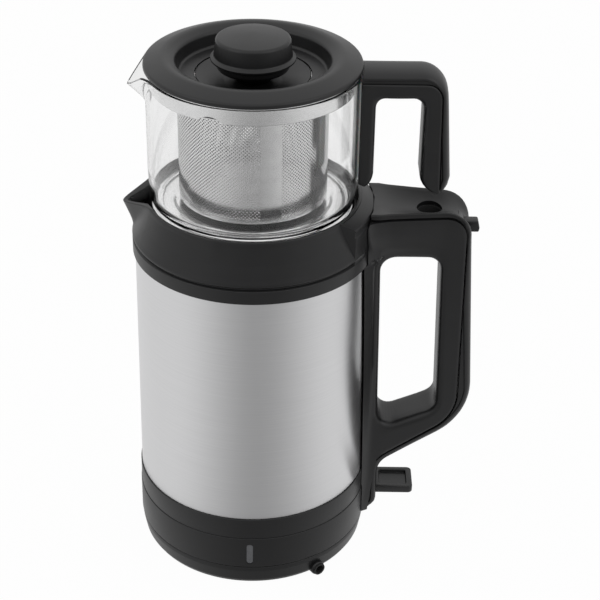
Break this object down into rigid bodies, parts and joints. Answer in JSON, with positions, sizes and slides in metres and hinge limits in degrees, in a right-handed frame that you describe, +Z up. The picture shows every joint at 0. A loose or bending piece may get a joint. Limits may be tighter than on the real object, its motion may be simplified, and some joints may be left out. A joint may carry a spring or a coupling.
{
  "type": "electric tea maker",
  "caption": "Two-tier electric tea maker: a steel kettle on a round power base, with a glass teapot and infuser standing in the kettle's collar.",
  "frame": {"origin": "on the kettle's vertical axis at table level, under the centre of the power base", "axes": "+Z up; +X from the axis to both handles and the switch lever, so both spouts point to -X; -Y is the front, with the indicator lens"},
  "size_m": [0.2119, 0.144, 0.34],
  "materials": {
    "black_plastic": "satin black moulded plastic",
    "inner_plastic": "dark grey engineering plastic inside the housing",
    "steel": "stainless steel brushed round the body",
    "screw_steel": "plated steel",
    "mesh_steel": "stainless sheet with fine perforations",
    "aluminium": "plain rolled plate",
    "brass": "bare contact brass",
    "rubber": "soft black rubber",
    "silicone": "translucent silicone seal",
    "glass": "clear borosilicate glass",
    "lens": "smoky translucent lens",
    "neck_gloss": "glossy black plastic"
  },
  "bodies": {
    "power_base": {"base_shell": "black_plastic", "base_plate": "black_plastic", "base_feet": "rubber", "base_screws": "screw_steel", "base_connector": "black_plastic", "base_contacts": "brass", "cord_bush": "rubber"},
    "socket": {"socket_disc": "inner_plastic", "socket_contacts": "brass"},
    "kettle": {"kettle_housing": "black_plastic", "trim_ring": "black_plastic", "indicator_lens": "lens", "indicator_lamp": "lens", "control_unit": "inner_plastic", "control_screws": "screw_steel", "steel_body": "steel", "vessel_floor": "steel", "heat_spreader": "aluminium", "heating_element": "screw_steel", "steam_tube": "steel", "collar": "black_plastic", "collar_seal": "silicone", "handle_frame": "black_plastic", "handle_cover": "black_plastic", "cap_well": "black_plastic", "handle_screws": "screw_steel", "lever_pin": "screw_steel", "button_spring": "screw_steel"},
    "release_button": {"lid_button": "black_plastic"},
    "lever": {"switch_lever": "black_plastic"},
    "lower_lid": {"kettle_lid": "steel", "kettle_lid_seal": "silicone"},
    "teapot": {"teapot_glass": "glass", "teapot_handle_frame": "black_plastic", "teapot_handle_cover": "black_plastic", "handle_pad": "silicone", "teapot_handle_screws": "screw_steel"},
    "infuser": {"infuser_band": "mesh_steel", "infuser_basket": "mesh_steel", "infuser_floor": "mesh_steel"},
    "upper_lid": {"lid_ring": "black_plastic", "lid_disc": "black_plastic", "lid_seal": "silicone", "knob_neck": "neck_gloss", "knob_cap": "black_plastic", "knob_screw": "screw_steel"}
  },
  "joints": [
    {"name": "kettle_lift", "type": "slide", "parent": "power_base", "child": "socket", "axis": [0, 0, 1], "range_m": [0, 0.07]},
    {"name": "kettle_swivel", "type": "hinge", "parent": "socket", "child": "kettle", "pos_m": [0, 0, 0.0258], "axis": [0, 0, 1], "continuous": true},
    {"name": "lever_tilt", "type": "hinge", "parent": "kettle", "child": "lever", "pos_m": [0.066, 0, 0.031], "axis": [0, 1, 0], "range_deg": [0, 10]},
    {"name": "button_press", "type": "slide", "parent": "kettle", "child": "release_button", "axis": [-1, 0, 0], "range_m": [0, 0.003], "stiffness_N_per_m": 500, "springref_m": -0.002, "deforming": ["button_spring"]},
    {"name": "lower_lid_lift", "type": "slide", "parent": "kettle", "child": "lower_lid", "axis": [0, 0, 1], "range_m": [0, 0.06]},
    {"name": "teapot_lift", "type": "slide", "parent": "lower_lid", "child": "teapot", "axis": [0, 0, 1], "range_m": [0, 0.1]},
    {"name": "infuser_lift", "type": "slide", "parent": "teapot", "child": "infuser", "axis": [0, 0, 1], "range_m": [0, 0.11]},
    {"name": "upper_lid_lift", "type": "slide", "parent": "infuser", "child": "upper_lid", "axis": [0, 0, 1], "range_m": [0, 0.06]}
  ]
}
